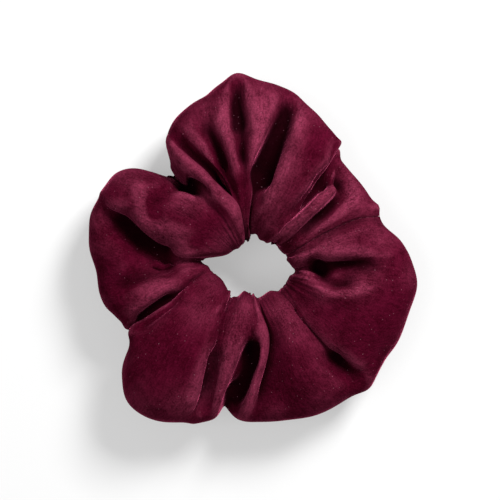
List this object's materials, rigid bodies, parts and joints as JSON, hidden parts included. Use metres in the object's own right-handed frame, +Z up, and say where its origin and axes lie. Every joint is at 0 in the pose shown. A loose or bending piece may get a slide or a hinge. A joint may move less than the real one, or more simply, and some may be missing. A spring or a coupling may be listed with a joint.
{
  "type": "scrunchie",
  "caption": "Hair scrunchie: a gathered velvet tube, sewn into a ring round a loose loop of flat elastic, lying flat.",
  "frame": {"origin": "middle of the footprint, on the surface that the scrunchie lies on", "axes": "+Z up, along the ring axis; +Y across the longest way of the ring, from its middle towards the run of narrow gathers; +X to the right of that"},
  "size_m": [0.1138, 0.123, 0.0335],
  "materials": {
    "velvet": "deep burgundy velvet pile",
    "cover_thread": "burgundy polyester sewing thread",
    "braided_elastic": "off-white braided elastic",
    "elastic_thread": "white polyester sewing thread"
  },
  "bodies": {
    "cover": {"velvet_cover": "velvet", "long_seam_needle_thread": "cover_thread", "long_seam_bobbin_thread": "cover_thread", "closing_seam_needle_thread": "cover_thread", "closing_seam_bobbin_thread": "cover_thread"},
    "elastic": {"elastic_band": "braided_elastic", "elastic_needle_thread": "elastic_thread", "elastic_bobbin_thread": "elastic_thread"}
  },
  "joints": [
    {"name": "elastic_slip", "type": "hinge", "parent": "cover", "child": "elastic", "pos_m": [-0.00146, -0.00574, 0.015], "axis": [0, 0, 1], "continuous": true}
  ]
}
